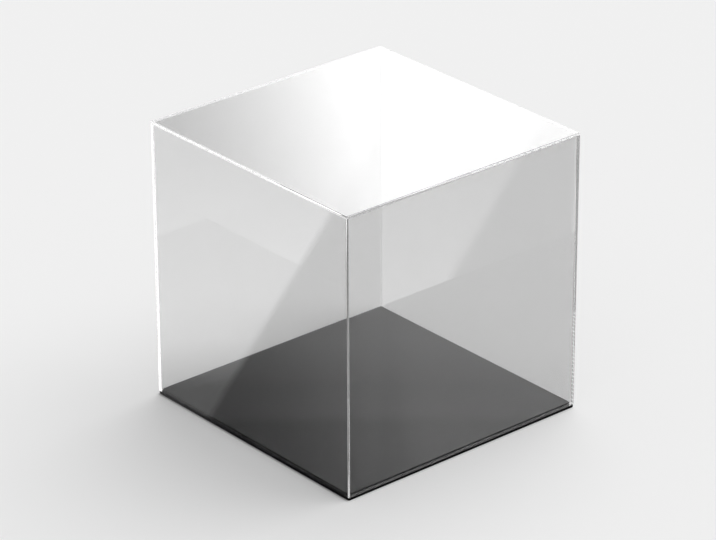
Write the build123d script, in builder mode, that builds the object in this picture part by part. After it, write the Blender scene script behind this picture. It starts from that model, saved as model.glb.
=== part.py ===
from build123d import *
import os

# A cube display case: a clear five-sided acrylic cover that lifts off a black acrylic base.
# Millimetres, +Z up, origin at the middle of the base's underside. The front faces -Y.

os.makedirs("parts", exist_ok=True)

# Outside of the cover. The base plate has the same outline.
cover_width = 300.0
cover_depth = 300.0
cover_height = 300.0

# Sheet that each piece is cut from
wall_thickness = 3.0
top_thickness = 3.0
base_thickness = 3.0
locating_thickness = 3.0

# Corners of the two black plates, seen from above
base_corner_radius = 2.0
locating_corner_radius = 2.0

# Small bevel polished along every edge that a hand can touch
edge_arris = 0.3

# Fits: from the locating plate to each wall, and the film of air under the resting cover
locating_clearance = 0.5
seating_gap = 0.05

# Levels and inside sizes that follow from the sizes above
cover_bottom = base_thickness + seating_gap
wall_height = cover_height - top_thickness
wall_top = cover_bottom + wall_height
inside_width = cover_width - 2 * wall_thickness
inside_depth = cover_depth - 2 * wall_thickness

# Base plate: lies flat on the shelf and carries everything, flush with the cover all round.
with BuildPart() as base_plate:
    with BuildSketch(Plane.XY):
        RectangleRounded(cover_width, cover_depth, base_corner_radius)
    extrude(amount=base_thickness)
    base_rims = base_plate.faces().filter_by(Axis.Z).edges()
    chamfer(base_rims, edge_arris)
base_plate.part.label = "base_plate"
export_step(base_plate.part, "parts/base_plate.step")

# Locating plate: cemented on the base plate, set in so that a ledge is left for the walls.
# It is the floor of the case. Its rounded corners clear the cement inside the cover.
with BuildPart() as locating_plate:
    with BuildSketch(Plane.XY.offset(base_thickness)):
        RectangleRounded(
            inside_width - 2 * locating_clearance,
            inside_depth - 2 * locating_clearance,
            locating_corner_radius,
        )
    extrude(amount=locating_thickness)
    floor_rim = locating_plate.faces().sort_by(Axis.Z)[-1].edges()
    chamfer(floor_rim, edge_arris)
locating_plate.part.label = "locating_plate"
export_step(locating_plate.part, "parts/locating_plate.step")

# Front and back panels: full width, so that they cover the ends of the side panels.
# The outer corners and the outer lower edge are bevelled, the cemented edges stay square.
for panel_name, outward in (("front_panel", -1), ("back_panel", 1)):
    outer_face = Plane(
        origin=(0, outward * cover_depth / 2, cover_bottom + wall_height / 2),
        x_dir=(1, 0, 0),
        z_dir=(0, outward, 0),
    )
    outward_axis = Axis((0, 0, 0), (0, outward, 0))
    with BuildPart() as long_panel:
        with BuildSketch(outer_face):
            Rectangle(cover_width, wall_height)
        extrude(amount=-wall_thickness)
        rim = long_panel.faces().sort_by(outward_axis)[-1].edges()
        outer_corners = rim.filter_by(Axis.Z)
        lower_edge = rim.group_by(Axis.Z)[0]
        lower_ends = long_panel.edges().filter_by(Axis.Y).group_by(Axis.Z)[0]
        chamfer(outer_corners + lower_edge + lower_ends, edge_arris)
    long_panel.part.label = panel_name
    export_step(long_panel.part, f"parts/{panel_name}.step")

# Left and right panels: cut to the inside depth and cemented between the front and the back.
for panel_name, outward in (("left_panel", -1), ("right_panel", 1)):
    outer_face = Plane(
        origin=(outward * cover_width / 2, 0, cover_bottom + wall_height / 2),
        x_dir=(0, 1, 0),
        z_dir=(outward, 0, 0),
    )
    outward_axis = Axis((0, 0, 0), (outward, 0, 0))
    with BuildPart() as side_panel:
        with BuildSketch(outer_face):
            Rectangle(inside_depth, wall_height)
        extrude(amount=-wall_thickness)
        rim = side_panel.faces().sort_by(outward_axis)[-1].edges()
        lower_edge = rim.group_by(Axis.Z)[0]
        chamfer(lower_edge, edge_arris)
    side_panel.part.label = panel_name
    export_step(side_panel.part, f"parts/{panel_name}.step")

# Top panel: caps all four walls, so that its own edge shows all round.
with BuildPart() as top_panel:
    with BuildSketch(Plane.XY.offset(wall_top)):
        Rectangle(cover_width, cover_depth)
    extrude(amount=top_thickness)
    upper_rim = top_panel.faces().sort_by(Axis.Z)[-1].edges()
    outer_corners = top_panel.edges().filter_by(Axis.Z)
    chamfer(upper_rim + outer_corners, edge_arris)
top_panel.part.label = "top_panel"
export_step(top_panel.part, "parts/top_panel.step")
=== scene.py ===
import math

import bmesh
import bpy
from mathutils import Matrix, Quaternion, Vector


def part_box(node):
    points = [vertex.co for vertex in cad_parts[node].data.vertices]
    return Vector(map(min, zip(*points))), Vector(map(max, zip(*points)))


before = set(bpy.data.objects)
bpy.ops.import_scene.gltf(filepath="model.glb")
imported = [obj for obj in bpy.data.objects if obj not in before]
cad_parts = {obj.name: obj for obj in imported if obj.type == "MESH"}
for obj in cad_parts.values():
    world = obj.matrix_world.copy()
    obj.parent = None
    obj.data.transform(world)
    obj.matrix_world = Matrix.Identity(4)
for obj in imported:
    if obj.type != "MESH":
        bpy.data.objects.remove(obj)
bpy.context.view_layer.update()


# Base plate
# A square of black cast acrylic that lies flat on the shelf and carries the whole case.
# It is laser cut: its faces keep the gloss of the cast sheet, its sides are a little duller.
BLACK_SHEET = "#0b0b0c"
ACRYLIC_IOR = 1.49
FACE_ROUGHNESS = 0.03
CUT_ROUGHNESS = 0.06
MILLIMETRE = 0.001
CUT_LINE_SPACING = 0.8 * MILLIMETRE


def linear(hex_colour):
    """Turns an sRGB hex colour into the linear colour that a socket takes."""
    channels = [int(hex_colour[i : i + 2], 16) / 255 for i in (1, 3, 5)]
    return [c / 12.92 if c <= 0.04045 else ((c + 0.055) / 1.055) ** 2.4 for c in channels] + [1.0]


def add(tree, kind, settings=None, links=None):
    """Adds a node. Settings are its own values or its sockets', and links feed its sockets."""
    node = tree.nodes.new(kind)
    for name, value in (settings or {}).items():
        if isinstance(name, str) and hasattr(node, name):
            setattr(node, name, value)
        else:
            node.inputs[name].default_value = value
    for name, output in (links or {}).items():
        tree.links.new(output, node.inputs[name])
    return node


def new_material(name):
    """Makes an empty material and gives it with its node tree."""
    material = bpy.data.materials.new(name)
    material.use_nodes = True
    material.node_tree.nodes.clear()
    return material, material.node_tree


# Black cast acrylic, laser cut: deep black with a hard, sharp gloss on its faces. Down its
# sides the cut leaves fine upright lines, which blur the gloss there. The real lines are about
# 0.2 mm apart, too fine to show, so they are drawn 0.8 mm apart.
cut_black, tree = new_material("black_cast_acrylic_laser_cut")
place = add(tree, "ShaderNodeTexCoord")
along_cut = add(
    tree,
    "ShaderNodeMapping",
    {"Scale": (1.0, 1.0, 0.02)},
    {"Vector": place.outputs["Object"]},
)
cut_lines = add(
    tree,
    "ShaderNodeTexNoise",
    {"Scale": 1 / CUT_LINE_SPACING, "Detail": 1.0},
    {"Vector": along_cut.outputs["Vector"]},
)
surface = add(tree, "ShaderNodeNewGeometry")
facing = add(tree, "ShaderNodeSeparateXYZ", links={"Vector": surface.outputs["Normal"]})
cut_side = add(
    tree,
    "ShaderNodeMapRange",
    {"From Min": 0.9, "From Max": 0.5, "To Min": 0.0, "To Max": 1.0},
    {"Value": facing.outputs["Z"]},
)
cut_gloss = add(
    tree,
    "ShaderNodeMapRange",
    {"From Min": 0.3, "From Max": 0.7, "To Min": CUT_ROUGHNESS * 0.5, "To Max": CUT_ROUGHNESS * 2},
    {"Value": cut_lines.outputs["Fac"]},
)
gloss = add(
    tree,
    "ShaderNodeMapRange",
    {"To Min": FACE_ROUGHNESS},
    {"Value": cut_side.outputs["Result"], "To Max": cut_gloss.outputs["Result"]},
)
cut_relief = add(
    tree,
    "ShaderNodeBump",
    {"Strength": 0.3, "Distance": 0.02 * MILLIMETRE},
    {"Height": cut_lines.outputs["Fac"]},
)
sheet = add(
    tree,
    "ShaderNodeBsdfPrincipled",
    {"Base Color": linear(BLACK_SHEET), "IOR": ACRYLIC_IOR},
    {"Roughness": gloss.outputs["Result"], "Normal": cut_relief.outputs["Normal"]},
)
add(tree, "ShaderNodeOutputMaterial", links={"Surface": sheet.outputs["BSDF"]})

base_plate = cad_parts["base_plate"]
base_plate.data.materials.clear()
base_plate.data.materials.append(cut_black)


# Locating plate
# A second black square cemented on the first and smaller all round, so that the clear cover
# drops over it and can't slide. It is the floor of the case, wiped clean by hand.
DUST_GREY = "#8f8f8c"
HAZE_ROUGHNESS = 0.4
WIPE_SPACING = 0.7 * MILLIMETRE
WIPE_ANGLE = math.radians(28)
DUST_SPACING = 14 * MILLIMETRE
SPECK_EDGE = 0.63 * MILLIMETRE
SPECK_MIDDLE = 0.28 * MILLIMETRE
DUST_OPACITY = 0.2

# Black cast acrylic, wiped by hand: a sharp reflection from its skin, and under it a soft dark
# grey haze, in which the marks of the cloth run one way. The real marks are hair fine and are
# drawn 0.7 mm wide. A pale speck of dust lies here and there.
wiped_black, tree = new_material("black_cast_acrylic_wiped")
place = add(tree, "ShaderNodeTexCoord")
along_wipe = add(
    tree,
    "ShaderNodeMapping",
    {"Rotation": (0.0, 0.0, WIPE_ANGLE), "Scale": (0.04, 1.0, 1.0)},
    {"Vector": place.outputs["Object"]},
)
wipe_marks = add(
    tree,
    "ShaderNodeTexNoise",
    {"Scale": 1 / WIPE_SPACING, "Detail": 2.0},
    {"Vector": along_wipe.outputs["Vector"]},
)
haze = add(
    tree,
    "ShaderNodeMapRange",
    {"From Min": 0.35, "From Max": 0.65, "To Min": HAZE_ROUGHNESS * 0.92, "To Max": HAZE_ROUGHNESS * 1.08},
    {"Value": wipe_marks.outputs["Fac"]},
)
dust = add(
    tree,
    "ShaderNodeTexVoronoi",
    {"Scale": 1 / DUST_SPACING},
    {"Vector": place.outputs["Object"]},
)
dust_cover = add(
    tree,
    "ShaderNodeMapRange",
    {
        "From Min": SPECK_EDGE / DUST_SPACING,
        "From Max": SPECK_MIDDLE / DUST_SPACING,
        "To Min": 0.0,
        "To Max": DUST_OPACITY,
    },
    {"Value": dust.outputs["Distance"]},
)
dusty_black = add(
    tree,
    "ShaderNodeMixRGB",
    {"Color1": linear(BLACK_SHEET), "Color2": linear(DUST_GREY)},
    {"Fac": dust_cover.outputs["Result"]},
)
sheet = add(
    tree,
    "ShaderNodeBsdfPrincipled",
    {
        "IOR": ACRYLIC_IOR,
        "Specular IOR Level": 0.15,
        "Coat Weight": 1.0,
        "Coat Roughness": FACE_ROUGHNESS,
        "Coat IOR": ACRYLIC_IOR,
    },
    {"Base Color": dusty_black.outputs["Color"], "Roughness": haze.outputs["Result"]},
)
add(tree, "ShaderNodeOutputMaterial", links={"Surface": sheet.outputs["BSDF"]})

locating_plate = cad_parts["locating_plate"]
locating_plate.data.materials.clear()
locating_plate.data.materials.append(wiped_black)


# Clear cover: front, back, left, right and top panels
# Five squares of clear cast acrylic, 3 mm thick. The side panels stand between the front and
# the back, the top caps all four, and solvent cement joins each edge to the face that it meets.
CLEAR_SHEET = "#f0f0f0"
CLEAR_CEMENT = "#fafafa"
# Painted highlight: this pale matt cement colour under the top also stands in for the light on the top
# edges.
MILKY_CEMENT_AND_HIGHLIGHT = "#f2f2f2"
SHADE_PER_FACE = 0.87
WAVE_LENGTH = 80 * MILLIMETRE
WAVE_HEIGHT = 0.003 * MILLIMETRE
BUBBLE_SPACING = 2 * MILLIMETRE
# Painted highlight: the share of the pale cement line kept along the front, where it is faint.
FRONT_PAINTED_HIGHLIGHT = 0.1
WALL = 3 * MILLIMETRE
SLACK = 0.03 * MILLIMETRE
top_low, top_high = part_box("top_panel")
inner_face = top_high[0] - WALL
top_underside = top_low[2]

# Clear cast acrylic: it bends and mirrors light as acrylic does and keeps a little of it, and
# cast sheet is never quite flat, which gives its reflections a slow wave. Its edges shine with
# the light that the sheet has carried along inside it, and along the top also with the painted
# highlight in the cement.
clear_acrylic, tree = new_material("clear_cast_acrylic_polished")
place = add(tree, "ShaderNodeTexCoord")
casting_waves = add(
    tree,
    "ShaderNodeTexNoise",
    {"Scale": 1 / WAVE_LENGTH, "Detail": 0.0},
    {"Vector": place.outputs["Object"]},
)
wavy_face = add(
    tree,
    "ShaderNodeBump",
    {"Strength": 1.0, "Distance": WAVE_HEIGHT},
    {"Height": casting_waves.outputs["Fac"]},
)
clear_sheet = add(
    tree,
    "ShaderNodeBsdfPrincipled",
    {"Base Color": linear(CLEAR_SHEET), "Roughness": 0.0, "IOR": ACRYLIC_IOR, "Transmission Weight": 1.0},
    {"Normal": wavy_face.outputs["Normal"]},
)

# Where the cement is: the ends of the side panels, and the whole upper edge of the four walls
# under the top. The material finds these faces by their place on the case.
parts = add(tree, "ShaderNodeSeparateXYZ", links={"Vector": place.outputs["Object"]})
from_middle_x = add(tree, "ShaderNodeMath", {"operation": "ABSOLUTE"}, {0: parts.outputs["X"]})
from_middle_y = add(tree, "ShaderNodeMath", {"operation": "ABSOLUTE"}, {0: parts.outputs["Y"]})
in_side_wall = add(
    tree,
    "ShaderNodeMath",
    {"operation": "GREATER_THAN", 1: inner_face - SLACK},
    {0: from_middle_x.outputs["Value"]},
)
in_front_or_back = add(
    tree,
    "ShaderNodeMath",
    {"operation": "GREATER_THAN", 1: inner_face - SLACK},
    {0: from_middle_y.outputs["Value"]},
)
at_side_end = add(
    tree,
    "ShaderNodeMath",
    {"operation": "COMPARE", 1: inner_face, 2: SLACK},
    {0: from_middle_y.outputs["Value"]},
)
at_wall_top = add(
    tree,
    "ShaderNodeMath",
    {"operation": "COMPARE", 1: top_underside, 2: SLACK},
    {0: parts.outputs["Z"]},
)
corner_joint = add(
    tree,
    "ShaderNodeMath",
    {"operation": "MULTIPLY"},
    {0: in_side_wall.outputs["Value"], 1: at_side_end.outputs["Value"]},
)
in_wall = add(
    tree,
    "ShaderNodeMath",
    {"operation": "MAXIMUM"},
    {0: in_side_wall.outputs["Value"], 1: in_front_or_back.outputs["Value"]},
)
top_joint = add(
    tree,
    "ShaderNodeMath",
    {"operation": "MULTIPLY"},
    {0: in_wall.outputs["Value"], 1: at_wall_top.outputs["Value"]},
)
joint = add(
    tree,
    "ShaderNodeMath",
    {"operation": "MAXIMUM"},
    {0: corner_joint.outputs["Value"], 1: top_joint.outputs["Value"]},
)

# Solvent cement: in the corners it joins two sheets into one clear block with hardly a line.
# Under the top it is a pale matt line, partly fine bubbles about 2 mm apart and partly a painted
# highlight that stands in for the light along the top edges. Along the front that painted
# highlight is kept faint.
bubbles = add(
    tree,
    "ShaderNodeTexNoise",
    {"Scale": 1 / BUBBLE_SPACING, "Detail": 1.0},
    {"Vector": place.outputs["Object"]},
)
bubble_cover = add(
    tree,
    "ShaderNodeMapRange",
    {"From Min": 0.35, "From Max": 0.65, "To Min": 0.8, "To Max": 1.0},
    {"Value": bubbles.outputs["Fac"]},
)
# Painted highlight by side: full under left, back and right, faint along the front.
behind_front = add(
    tree,
    "ShaderNodeMath",
    {"operation": "GREATER_THAN", 1: -inner_face},
    {0: parts.outputs["Y"]},
)
painted_highlight_by_side = add(
    tree,
    "ShaderNodeMapRange",
    {"To Min": FRONT_PAINTED_HIGHLIGHT, "To Max": 1.0},
    {"Value": behind_front.outputs["Value"]},
)
bubbles_and_highlight_by_side = add(
    tree,
    "ShaderNodeMath",
    {"operation": "MULTIPLY"},
    {0: bubble_cover.outputs["Result"], 1: painted_highlight_by_side.outputs["Result"]},
)
bubbles_and_highlight = add(
    tree,
    "ShaderNodeMath",
    {"operation": "MULTIPLY"},
    {0: bubbles_and_highlight_by_side.outputs["Value"], 1: top_joint.outputs["Value"]},
)
clear_cement = add(tree, "ShaderNodeBsdfTransparent", {"Color": linear(CLEAR_CEMENT)})
# Painted highlight: a white matt shader under the top, partly bubbles, partly standing in for light on the
# top edges.
cement_bubbles_and_highlight = add(tree, "ShaderNodeBsdfDiffuse", {"Color": linear(MILKY_CEMENT_AND_HIGHLIGHT)})
cement = add(
    tree,
    "ShaderNodeMixShader",
    links={0: bubbles_and_highlight.outputs["Value"], 1: clear_cement.outputs["BSDF"], 2: cement_bubbles_and_highlight.outputs["BSDF"]},
)
cover_as_seen = add(
    tree,
    "ShaderNodeMixShader",
    links={0: joint.outputs["Value"], 1: clear_sheet.outputs["BSDF"], 2: cement.outputs["Shader"]},
)

# The cover's shadow: each face turns some of the light away, so it is a soft half shade.
shade = add(
    tree,
    "ShaderNodeBsdfTransparent",
    {"Color": (SHADE_PER_FACE, SHADE_PER_FACE, SHADE_PER_FACE, 1.0)},
)
cover_as_shade = add(
    tree,
    "ShaderNodeMixShader",
    links={0: joint.outputs["Value"], 1: shade.outputs["BSDF"], 2: clear_cement.outputs["BSDF"]},
)
light_path = add(tree, "ShaderNodeLightPath")
cover = add(
    tree,
    "ShaderNodeMixShader",
    links={
        0: light_path.outputs["Is Shadow Ray"],
        1: cover_as_seen.outputs["Shader"],
        2: cover_as_shade.outputs["Shader"],
    },
)
add(tree, "ShaderNodeOutputMaterial", links={"Surface": cover.outputs["Shader"]})

for name in ("front_panel", "back_panel", "left_panel", "right_panel", "top_panel"):
    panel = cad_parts[name]
    panel.data.materials.clear()
    panel.data.materials.append(clear_acrylic)


# Floor
# A pale table top of matt board that runs out of sight and takes the soft shadow of the case.
# It isn't in the mirrored view, which shows only the studio that is made below.
BOARD = "#f1f1f1"
FLOOR_REACH = 20.0
floor_mesh = bpy.data.meshes.new("floor")
shape = bmesh.new()
bmesh.ops.create_grid(shape, x_segments=1, y_segments=1, size=FLOOR_REACH)
shape.to_mesh(floor_mesh)
shape.free()
floor = bpy.data.objects.new("floor", floor_mesh)
bpy.context.scene.collection.objects.link(floor)

matt_board, tree = new_material("matt_board")
board = add(tree, "ShaderNodeBsdfDiffuse", {"Color": linear(BOARD)})
out_of_view = add(tree, "ShaderNodeBsdfTransparent")
light_path = add(tree, "ShaderNodeLightPath")
is_mirrored = add(
    tree,
    "ShaderNodeMath",
    {"operation": "GREATER_THAN", 1: 0.5},
    {0: light_path.outputs["Glossy Depth"]},
)
floor_surface = add(
    tree,
    "ShaderNodeMixShader",
    links={0: is_mirrored.outputs["Value"], 1: board.outputs["BSDF"], 2: out_of_view.outputs["BSDF"]},
)
add(tree, "ShaderNodeOutputMaterial", links={"Surface": floor_surface.outputs["Shader"]})
floor_mesh.materials.append(matt_board)


# Studio
# The room around the case, made as the world. It gives a faint even light, and a pale backdrop
# is seen straight and through the clear sheet. The gloss mirrors its softbox, ground and cards.
FILL = 0.29
BACKDROP = "#f1f1f1"
world = bpy.data.worlds.new("studio")
bpy.context.scene.world = world
world.use_nodes = True
tree = world.node_tree
tree.nodes.clear()
place = add(tree, "ShaderNodeTexCoord")
direction = place.outputs["Generated"]
axes = add(tree, "ShaderNodeSeparateXYZ", links={"Vector": direction})

# The softbox, mirrored in the top and in the black plate. Its light rises slowly across a
# slanted edge, ends towards the front and overhead, and is weaker higher up. Each straight
# border in the studio is a plane through the case, given here by the way that it faces.
SOFTBOX_LEVEL = 2.1
UPPER_LEVEL = SOFTBOX_LEVEL * 0.66
ROOM_LEVEL = 0.12
SOFTBOX_EDGE = (0.831, -0.566, -0.2255)
SOFTBOX_FRONT = (0.94, 0.342, 0.0)
across_edge = add(
    tree,
    "ShaderNodeVectorMath",
    {"operation": "DOT_PRODUCT", 1: SOFTBOX_EDGE},
    {0: direction},
)
edge_ramp = add(
    tree,
    "ShaderNodeMapRange",
    {"From Min": -0.047, "From Max": 0.0079, "To Min": 0.0, "To Max": 1.05},
    {"Value": across_edge.outputs["Value"]},
)
soft_edge = add(
    tree,
    "ShaderNodeMath",
    {"operation": "POWER", 1: 1.5},
    {0: edge_ramp.outputs["Result"]},
)
across_front = add(
    tree,
    "ShaderNodeVectorMath",
    {"operation": "DOT_PRODUCT", 1: SOFTBOX_FRONT},
    {0: direction},
)
front_end = add(
    tree,
    "ShaderNodeMapRange",
    {"interpolation_type": "SMOOTHSTEP", "From Min": -0.05, "From Max": 0.1},
    {"Value": across_front.outputs["Value"]},
)
by_height = add(
    tree,
    "ShaderNodeMapRange",
    {"From Min": 0.418, "From Max": 0.44, "To Min": SOFTBOX_LEVEL, "To Max": UPPER_LEVEL},
    {"Value": axes.outputs["Z"]},
)
upper_end = add(
    tree,
    "ShaderNodeMapRange",
    {"interpolation_type": "SMOOTHSTEP", "From Min": 0.9, "From Max": 0.7},
    {"Value": axes.outputs["Z"]},
)
softbox_sides = add(
    tree,
    "ShaderNodeMath",
    {"operation": "MULTIPLY"},
    {0: soft_edge.outputs["Value"], 1: front_end.outputs["Result"]},
)
softbox_height = add(
    tree,
    "ShaderNodeMath",
    {"operation": "MULTIPLY"},
    {0: by_height.outputs["Result"], 1: upper_end.outputs["Result"]},
)
upper_room = add(
    tree,
    "ShaderNodeMath",
    {"operation": "MULTIPLY_ADD", 2: ROOM_LEVEL},
    {0: softbox_sides.outputs["Value"], 1: softbox_height.outputs["Value"]},
)

# The pale ground and the dark cards, mirrored in the walls, with straight slanted borders. The
# gap between two cards on the left is the pale field that the front wall shows.
DARK_CARD = 0.2
PALE_GROUND = 1.1
GAP_LIGHT = 1.35
CARD_EDGE = (-0.516, 0.7154, -0.471)
GAP_EDGE = (0.5008, 0.7411, 0.4472)
NEAR_CORNER = (-0.76, -0.65, 0.0)
STRIP_EDGE = (-0.7182, -0.6958, 0.0)
without_sign = add(tree, "ShaderNodeVectorMath", {"operation": "ABSOLUTE"}, {0: direction})
across_card = add(
    tree,
    "ShaderNodeVectorMath",
    {"operation": "DOT_PRODUCT", 1: CARD_EDGE},
    {0: without_sign.outputs["Vector"]},
)
beside_card = add(
    tree,
    "ShaderNodeMapRange",
    {"From Min": -0.001, "From Max": 0.0012},
    {"Value": across_card.outputs["Value"]},
)
across_gap = add(
    tree,
    "ShaderNodeVectorMath",
    {"operation": "DOT_PRODUCT", 1: GAP_EDGE},
    {0: direction},
)
in_gap = add(
    tree,
    "ShaderNodeMapRange",
    {"From Min": -0.0013, "From Max": 0.0013},
    {"Value": across_gap.outputs["Value"]},
)
past_corner = add(
    tree,
    "ShaderNodeVectorMath",
    {"operation": "DOT_PRODUCT", 1: NEAR_CORNER},
    {0: direction},
)
is_past_corner = add(
    tree,
    "ShaderNodeMath",
    {"operation": "GREATER_THAN", 1: 0.0},
    {0: past_corner.outputs["Value"]},
)
gap = add(
    tree,
    "ShaderNodeMath",
    {"operation": "MULTIPLY"},
    {0: in_gap.outputs["Result"], 1: is_past_corner.outputs["Value"]},
)
past_edge = add(
    tree,
    "ShaderNodeVectorMath",
    {"operation": "DOT_PRODUCT", 1: STRIP_EDGE},
    {0: direction},
)
edge_strip = add(
    tree,
    "ShaderNodeMapRange",
    {"From Min": -0.0004, "From Max": 0.0002},
    {"Value": past_edge.outputs["Value"]},
)
gap_or_strip = add(
    tree,
    "ShaderNodeMath",
    {"operation": "MAXIMUM"},
    {0: gap.outputs["Value"], 1: edge_strip.outputs["Result"]},
)
to_left = add(tree, "ShaderNodeMath", {"operation": "LESS_THAN", 1: 0.0}, {0: axes.outputs["X"]})
to_back = add(tree, "ShaderNodeMath", {"operation": "GREATER_THAN", 1: 0.0}, {0: axes.outputs["Y"]})
left_and_back = add(
    tree,
    "ShaderNodeMath",
    {"operation": "MULTIPLY"},
    {0: to_left.outputs["Value"], 1: to_back.outputs["Value"]},
)
gap_strength = add(
    tree,
    "ShaderNodeMath",
    {"operation": "MULTIPLY", 1: GAP_LIGHT},
    {0: left_and_back.outputs["Value"]},
)
left_light = add(
    tree,
    "ShaderNodeMath",
    {"operation": "MULTIPLY"},
    {0: gap_or_strip.outputs["Value"], 1: gap_strength.outputs["Value"]},
)
lit_ground = add(
    tree,
    "ShaderNodeMath",
    {"operation": "MAXIMUM"},
    {0: beside_card.outputs["Result"], 1: left_light.outputs["Value"]},
)
ground_level = add(
    tree,
    "ShaderNodeMapRange",
    {"clamp": False, "To Min": DARK_CARD, "To Max": PALE_GROUND},
    {"Value": lit_ground.outputs["Value"]},
)

# The ground is lightest half way down the walls, and fades to nothing near their feet, where
# the case's own black side stays black.
far_rise = add(
    tree,
    "ShaderNodeMapRange",
    {"From Min": -0.4392, "From Max": -0.404, "To Min": 1.3, "To Max": 0.78},
    {"Value": axes.outputs["Z"]},
)
near_fade = add(
    tree,
    "ShaderNodeMapRange",
    {"From Min": -0.46, "From Max": -0.4485, "To Min": 0.28, "To Max": 1.0},
    {"Value": axes.outputs["Z"]},
)
foot_fade = add(
    tree,
    "ShaderNodeMapRange",
    {"From Min": -0.469, "From Max": -0.4665, "To Min": 0.0, "To Max": 1.0},
    {"Value": axes.outputs["Z"]},
)
both_fades = add(
    tree,
    "ShaderNodeMath",
    {"operation": "MULTIPLY"},
    {0: near_fade.outputs["Result"], 1: foot_fade.outputs["Result"]},
)
ground_by_distance = add(
    tree,
    "ShaderNodeMath",
    {"operation": "MULTIPLY"},
    {0: ground_level.outputs["Result"], 1: far_rise.outputs["Result"]},
)
lower_room = add(
    tree,
    "ShaderNodeMath",
    {"operation": "MULTIPLY"},
    {0: ground_by_distance.outputs["Value"], 1: both_fades.outputs["Value"]},
)
is_above = add(tree, "ShaderNodeMath", {"operation": "GREATER_THAN", 1: 0.0}, {0: axes.outputs["Z"]})
mirrored_level = add(
    tree,
    "ShaderNodeMapRange",
    links={
        "Value": is_above.outputs["Value"],
        "To Min": lower_room.outputs["Value"],
        "To Max": upper_room.outputs["Value"],
    },
)

# What the sheets carry to their edges: after three turns inside a sheet the light comes from
# bright strips all round, apart from a dim card on each side of the back half.
EDGE_GLOW = 1.6
DIM_EDGE = 0.5
DIM_CARD_EDGE = (0.7642, -0.645, 0.0)
across_dim_card = add(
    tree,
    "ShaderNodeVectorMath",
    {"operation": "DOT_PRODUCT", 1: DIM_CARD_EDGE},
    {0: without_sign.outputs["Vector"]},
)
to_one_side = add(
    tree,
    "ShaderNodeMath",
    {"operation": "GREATER_THAN", 1: 0.0},
    {0: across_dim_card.outputs["Value"]},
)
on_dim_card = add(
    tree,
    "ShaderNodeMath",
    {"operation": "MULTIPLY"},
    {0: to_one_side.outputs["Value"], 1: to_back.outputs["Value"]},
)
carried_level = add(
    tree,
    "ShaderNodeMapRange",
    {"To Min": EDGE_GLOW, "To Max": DIM_EDGE},
    {"Value": on_dim_card.outputs["Value"]},
)

# Which of these a ray meets: the fill lights the surfaces, the backdrop is for the eye.
light_path = add(tree, "ShaderNodeLightPath")
is_seen = add(
    tree,
    "ShaderNodeMath",
    {"operation": "MAXIMUM"},
    {0: light_path.outputs["Is Camera Ray"], 1: light_path.outputs["Is Transmission Ray"]},
)
is_mirrored = add(
    tree,
    "ShaderNodeMath",
    {"operation": "GREATER_THAN", 1: 0.5},
    {0: light_path.outputs["Glossy Depth"]},
)
is_carried = add(
    tree,
    "ShaderNodeMath",
    {"operation": "GREATER_THAN", 1: 2.5},
    {0: light_path.outputs["Glossy Depth"]},
)
lights_matt = add(
    tree,
    "ShaderNodeMath",
    {"operation": "GREATER_THAN", 1: 0.5},
    {0: light_path.outputs["Diffuse Depth"]},
)
fill = add(tree, "ShaderNodeBackground", {"Color": (1, 1, 1, 1), "Strength": FILL})
backdrop = add(tree, "ShaderNodeBackground", {"Color": linear(BACKDROP), "Strength": 1.0})
mirrored_room = add(
    tree,
    "ShaderNodeBackground",
    {"Color": (1, 1, 1, 1)},
    {"Strength": mirrored_level.outputs["Result"]},
)
carried_light = add(
    tree,
    "ShaderNodeBackground",
    {"Color": (1, 1, 1, 1)},
    {"Strength": carried_level.outputs["Result"]},
)
fill_or_backdrop = add(
    tree,
    "ShaderNodeMixShader",
    links={0: is_seen.outputs["Value"], 1: fill.outputs["Background"], 2: backdrop.outputs["Background"]},
)
or_mirrored = add(
    tree,
    "ShaderNodeMixShader",
    links={
        0: is_mirrored.outputs["Value"],
        1: fill_or_backdrop.outputs["Shader"],
        2: mirrored_room.outputs["Background"],
    },
)
or_carried = add(
    tree,
    "ShaderNodeMixShader",
    links={
        0: is_carried.outputs["Value"],
        1: or_mirrored.outputs["Shader"],
        2: carried_light.outputs["Background"],
    },
)
room = add(
    tree,
    "ShaderNodeMixShader",
    links={0: lights_matt.outputs["Value"], 1: or_carried.outputs["Shader"], 2: fill.outputs["Background"]},
)
add(tree, "ShaderNodeOutputWorld", links={"Surface": room.outputs["Shader"]})


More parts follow.
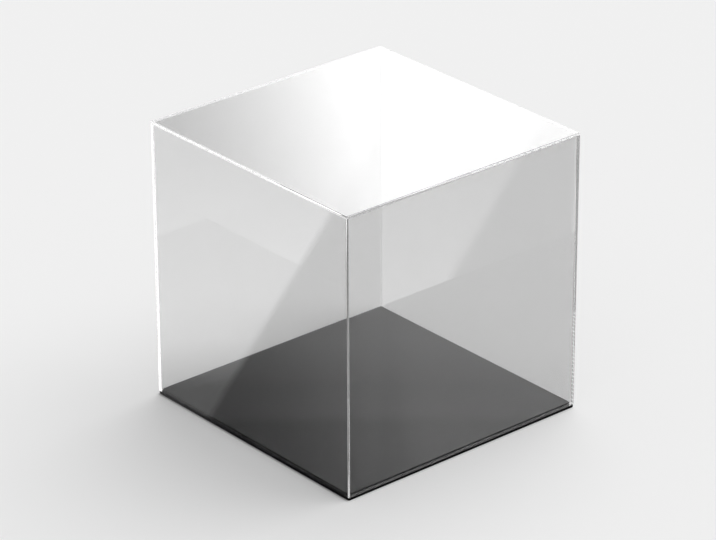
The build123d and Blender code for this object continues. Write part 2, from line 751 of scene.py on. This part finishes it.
# Lamp
# The softbox as a lamp: broad and even, high on the right, so that the shadow of the case lies
# soft on its left. With the fill, a white surface that faces up comes out white.
LAMP_TURN = math.radians(3)
LAMP_HEIGHT = math.radians(53)
LAMP_SPREAD = math.radians(76)
LAMP_STRENGTH = 2.77
lamp_data = bpy.data.lights.new("softbox", "SUN")
lamp_data.energy = LAMP_STRENGTH
lamp_data.angle = LAMP_SPREAD
lamp = bpy.data.objects.new("softbox", lamp_data)
bpy.context.scene.collection.objects.link(lamp)
to_lamp = Vector(
    (
        math.cos(LAMP_TURN) * math.cos(LAMP_HEIGHT),
        math.sin(LAMP_TURN) * math.cos(LAMP_HEIGHT),
        math.sin(LAMP_HEIGHT),
    )
)
lamp.rotation_mode = "QUATERNION"
lamp.rotation_quaternion = (-to_lamp).to_track_quat("-Z", "Y")
lamp.visible_glossy = False
lamp.visible_transmission = False


# Camera
# It looks down on the upright edge between the left and front walls, from about 3.8 m away
# through a long lens, and is turned a quarter of a degree about its own line of sight.
CAMERA_TURN = math.radians(-40.42)
CAMERA_HEIGHT = math.radians(25.59)
CAMERA_ROLL = math.radians(-0.24)
CAMERA_PLACE = (-2.1744, -2.5422, 1.749)
FOCAL_PIXELS = 3698
PICTURE_WIDTH = 716
SENSOR_WIDTH = 36.0
camera_data = bpy.data.cameras.new("camera")
camera_data.sensor_width = SENSOR_WIDTH
camera_data.lens = SENSOR_WIDTH * FOCAL_PIXELS / PICTURE_WIDTH
camera = bpy.data.objects.new("camera", camera_data)
bpy.context.scene.collection.objects.link(camera)
camera.location = CAMERA_PLACE
backwards = Vector(
    (
        math.sin(CAMERA_TURN) * math.cos(CAMERA_HEIGHT),
        -math.cos(CAMERA_TURN) * math.cos(CAMERA_HEIGHT),
        math.sin(CAMERA_HEIGHT),
    )
)
level = (-backwards).to_track_quat("-Z", "Y")
camera.rotation_mode = "QUATERNION"
camera.rotation_quaternion = level @ Quaternion((0.0, 0.0, 1.0), CAMERA_ROLL)
bpy.context.scene.camera = camera

# Light inside a 3 mm sheet turns at its faces up to 60 times before it comes out at an edge,
# so the render follows it that far.
MOST_TURNS = 80
MOST_CLEAR_FACES = 32
settings = bpy.context.scene.cycles
settings.max_bounces = MOST_TURNS
settings.glossy_bounces = MOST_TURNS
settings.transmission_bounces = MOST_TURNS
settings.transparent_max_bounces = MOST_CLEAR_FACES
bpy.context.scene.view_settings.view_transform = "Standard"
